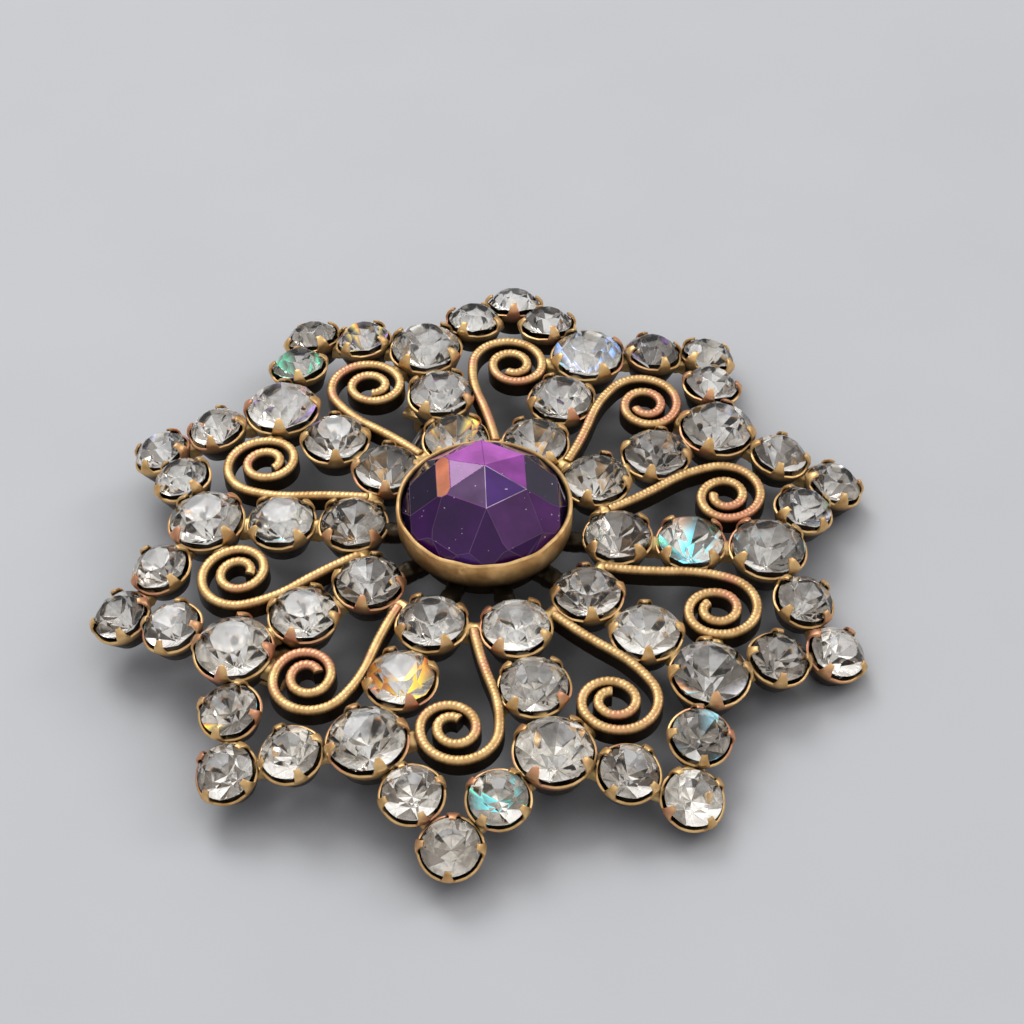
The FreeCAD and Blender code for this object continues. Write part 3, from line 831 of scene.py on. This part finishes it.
# Rows of facets from the apex down: the slope that a row stays below, and its tones, each from a
# direction on, in degrees. -90 is the front. The tones are painted light and shade of one purple glass.
FACET_ROWS = (
    (28, ((-180, ROSE), (-145, MAUVE), (-85, VIOLET), (-25, ROSE), (35, PINK), (95, PINK), (155, ROSE))),
    (45, ((-180, INK), (-130, PLUM), (-70, GRAPE), (-10, INK), (35, VIOLET), (95, ROSE), (140, INK))),
    (53, ((-180, PLUM), (-115, PLUM), (-55, GRAPE), (5, INK), (65, INK), (125, INK))),
    (181, ((-180, INK), (-135, PLUM), (-105, VIOLET), (-75, PLUM), (-45, GRAPE), (-20, INK))))


def painted_facet_light(normal):
    """The painted light and shade of one facet, from how steep it is and which way it faces."""
    slope = math.degrees(math.acos(max(-1.0, min(1.0, normal.z))))
    turn = math.degrees(math.atan2(normal.y, normal.x))
    # The chip facet is painted as a red glint
    if abs(slope - EMBER_SLOPE) < 2:
        return EMBER_GLINT
    tones = next(tones for limit, tones in FACET_ROWS if slope < limit)
    return [tone for start, tone in tones if turn >= start][-1]


def fall(high, low):
    """The slope, in degrees, of a plane through two (radius, height) places."""
    return math.degrees(math.atan2(high[1] - low[1], low[0] - high[0]))


def dress_centre_stone():
    """The domed stone, ground from a round blank. Its edges that face the front are rubbed bright and
    carry a painted highlight; its facets carry painted light and shade.
    """
    low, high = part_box("centre_stone")
    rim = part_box("centre_bezel")[1].z
    blank_depth = high.z - low.z + 0.4 * MM
    blank_middle = low.z - rim + blank_depth / 2
    deselect()
    bpy.ops.mesh.primitive_cylinder_add(vertices=96, radius=STONE_RADIUS, depth=blank_depth,
                                        end_fill_type="NGON", location=(0, 0, blank_middle))
    stone = bpy.context.object
    stone.name = "domed_stone"
    bpy.ops.object.transform_apply(location=True, rotation=True, scale=True)
    edit(stone, "FACE")
    apex = (0, high.z - rim)
    corner = (HEXAGON_RADIUS, HEXAGON_HEIGHT)
    flat = (HEXAGON_RADIUS * math.cos(math.pi / 6), HEXAGON_HEIGHT)
    belt_corner = (BELT_RADIUS, BELT_HEIGHT)
    belt = (BELT_RADIUS * math.cos(math.pi / 12), BELT_HEIGHT)
    neck = ((STONE_RADIUS - BEZEL_LIP) * math.cos(math.pi / 24), 0)
    for k in range(6):
        turn = HEXAGON_TURN + 60 * k
        grind(stone, turn + 30, fall(apex, flat), *apex)
        grind(stone, turn + 30, fall(flat, belt), *flat)
        grind(stone, turn, fall(corner, belt), *corner)
    ember_height = apex[1] - EMBER_RADIUS * math.tan(math.radians(fall(apex, flat)))
    grind(stone, EMBER_TURN, EMBER_SLOPE, EMBER_RADIUS, ember_height)
    for k in range(12):
        grind(stone, HEXAGON_TURN + 30 * k, fall(belt, neck), *belt)
        grind(stone, HEXAGON_TURN + 30 * k + 15, fall(belt_corner, neck), *belt_corner)
    finish_edit()
    stone.data.transform(Matrix.Translation((0, 0, rim)))
    stone.data.materials.append(purple_glass)
    stone.data.materials.append(rubbed_edge_highlight)
    stone.data.color_attributes.new("tone_and_light", "FLOAT_COLOR", "CORNER")
    layer = stone.data.color_attributes["tone_and_light"]
    # Painted light and shade: each facet takes the tone of the way it faces
    for face in stone.data.polygons:
        tone = painted_facet_light(face.normal)
        for index in face.loop_indices:
            warmth = random.uniform(0.0, 0.3) if tone == EMBER_GLINT else 0.0
            layer.data[index].color = (tone[0], tone[1] + warmth, tone[2] + 0.4 * warmth, 1.0)
    ridges = stone.modifiers.new("ridges", "BEVEL")
    ridges.width = 0.03 * MM
    ridges.segments = 1
    ridges.limit_method = "ANGLE"
    ridges.angle_limit = math.radians(8)
    ridges.material = 1
    apply_modifiers(stone)
    layer = stone.data.color_attributes["tone_and_light"]
    # Painted highlight: only ridges high on the front keep the light edge glass; the others take a facet
    # tone
    for face in stone.data.polygons:
        turn = math.degrees(math.atan2(face.center.y, face.center.x))
        bright = -95 < turn < -10 and face.center.z > rim + 2.0 * MM
        if face.material_index == 1 and not bright:
            tone = ROSE if face.center.z > rim + 2.6 * MM else MAUVE
            face.material_index = 0
            for index in face.loop_indices:
                layer.data[index].color = (*tone, 1.0)
    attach(stone, "brooch")
    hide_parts("centre_stone")


# Solder

def dress_solder():
    """Rounds the solder off into pools and beads."""
    solder = merged_copy("solder_joints")
    solder.name = "solder_beads"
    melt = solder.modifiers.new("melt", "REMESH")
    melt.mode = "VOXEL"
    melt.voxel_size = 0.13 * MM
    settle = solder.modifiers.new("settle", "SMOOTH")
    settle.iterations = 5
    swell = solder.modifiers.new("swell", "DISPLACE")
    swell.strength = 0.30 * MM
    swell.mid_level = 0
    lumps = bpy.data.textures.new("solder_lumps", "CLOUDS")
    lumps.noise_scale = 0.8 * MM
    uneven = solder.modifiers.new("uneven", "DISPLACE")
    uneven.texture = lumps
    uneven.strength = 0.35 * MM
    uneven.mid_level = 0.5
    apply_modifiers(solder)
    bpy.ops.object.shade_smooth()
    # Painted shade: the solder darkens towards the bezel, under which it lies in shade
    wear_and_shade = solder.data.attributes.new("wear_and_shade", "FLOAT", "POINT")
    for vertex in solder.data.vertices:
        out = vertex.co.xy.length - BEZEL_RADIUS - 0.75 * MM
        wear_and_shade.data[vertex.index].value = min(1.0, max(0.0, out / MM))
    solder.data.materials.clear()
    solder.data.materials.append(solder_metal)
    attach(solder, "brooch")
    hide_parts("solder_joints")


# Hinge, catch and pin

def dress_hardware():
    """The pieces on the back, with their edges broken and their round faces smooth."""
    finishes = {"hinge_bracket": ("brooch", catch_metal, "catch_brass"),
                "hinge_rivet": ("brooch", catch_metal, "catch_brass"),
                "catch_barrel": ("brooch", catch_metal, "catch_brass"),
                "catch_lock": ("lock", catch_metal, "catch_brass"),
                "pin_stem": ("pin", pin_metal, "pin_steel")}
    for node, (body, metal, slot) in finishes.items():
        piece = merged_copy(node)
        piece.name = node + "_finish"
        edit(piece)
        bpy.ops.mesh.select_all(action="SELECT")
        bpy.ops.mesh.dissolve_limited(angle_limit=math.radians(1))
        finish_edit()
        edges = piece.modifiers.new("edges", "BEVEL")
        edges.width = 0.04 * MM
        edges.segments = 2
        edges.limit_method = "ANGLE"
        edges.angle_limit = math.radians(35)
        apply_modifiers(piece)
        bpy.ops.object.shade_smooth_by_angle(angle=math.radians(30))
        piece.data.materials.clear()
        piece.data.materials.append(metal)
        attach(piece, body)
        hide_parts(node)


# Floor, light and camera

def make_floor():
    deselect()
    bpy.ops.mesh.primitive_plane_add(size=FLOOR_SIZE)
    floor = bpy.context.object
    floor.name = "floor"
    away = Matrix.Rotation(math.radians(FLOOR_TURN), 4, "Z")
    tilt = Matrix.Rotation(-math.atan2(FLOOR_RISE, FLOOR_RUN), 4, "Y")
    floor.data.transform(Matrix.Translation((0, 0, FLOOR_LIFT)) @ away @ tilt)
    material, nodes, links, shader = new_material("pale_floor")
    tones = ((0.3, (0.565, 0.572, 0.592)), (0.7, (0.585, 0.592, 0.612)))
    tone = ramp(nodes, links, noise(nodes, links, 60.0), tones)
    # Painted shadow: the floor darkens by occlusion under and near the brooch
    under = nodes.new("ShaderNodeAmbientOcclusion")
    under.samples = 12
    under.inputs["Distance"].default_value = 10 * MM
    contact_shadow = ramp(nodes, links, under.outputs["AO"], ((0.1, (0.3, 0.3, 0.32)), (0.85, WHITE)))
    links.new(mixed(nodes, links, 1.0, tone, contact_shadow, "MULTIPLY"), shader.inputs["Base Color"])
    shader.inputs["Roughness"].default_value = 0.6
    floor.data.materials.append(material)


def make_lamp(name, location, size, power):
    light = bpy.data.lights.new(name, "AREA")
    light.shape = "DISK"
    light.size = size
    light.energy = power
    lamp = bpy.data.objects.new(name, light)
    lamp.location = location
    lamp.rotation_euler = (-Vector(location)).to_track_quat("-Z", "Y").to_euler()
    bpy.context.scene.collection.objects.link(lamp)


def make_world():
    """A room with a bright ceiling and darker walls."""
    world = bpy.data.worlds.new("room")
    world.use_nodes = True
    bpy.context.scene.world = world
    nodes, links = world.node_tree.nodes, world.node_tree.links
    direction = nodes.new("ShaderNodeTexCoord")
    split = nodes.new("ShaderNodeSeparateXYZ")
    links.new(direction.outputs["Generated"], split.inputs["Vector"])
    walls, cornice, sky = (0.30, 0.30, 0.31), (0.50, 0.505, 0.52), (0.78, 0.79, 0.81)
    tones = ((0.0, walls), (0.3, cornice), (0.55, sky), (0.9, WHITE))
    links.new(ramp(nodes, links, split.outputs["Z"], tones), nodes["Background"].inputs["Color"])
    nodes["Background"].inputs["Strength"].default_value = 0.8


def make_camera():
    data = bpy.data.cameras.new("camera")
    data.lens = LENS_MM
    data.sensor_width = 36.0
    data.clip_start = 0.01
    camera = bpy.data.objects.new("camera", data)
    bpy.context.scene.collection.objects.link(camera)
    turn = (Matrix.Rotation(math.radians(-CAMERA_YAW), 4, "Z")
            @ Matrix.Rotation(math.radians(90 - CAMERA_DROP), 4, "X")
            @ Matrix.Rotation(math.radians(CAMERA_ROLL), 4, "Z"))
    camera.matrix_world = Matrix.Translation(CAMERA_AT) @ turn
    bpy.context.scene.camera = camera


make_camera()
make_floor()
make_world()
make_lamp("window", (-0.55, 0.95, 1.15), 0.75, 8.0)
make_lamp("far_window", (1.0, 0.5, 0.9), 0.5, 2.6)
dress_cups()
dress_scrolls()
dress_bezel()
dress_centre_stone()
dress_solder()
dress_hardware()
bpy.context.scene.view_settings.view_transform = "Standard"
deselect()
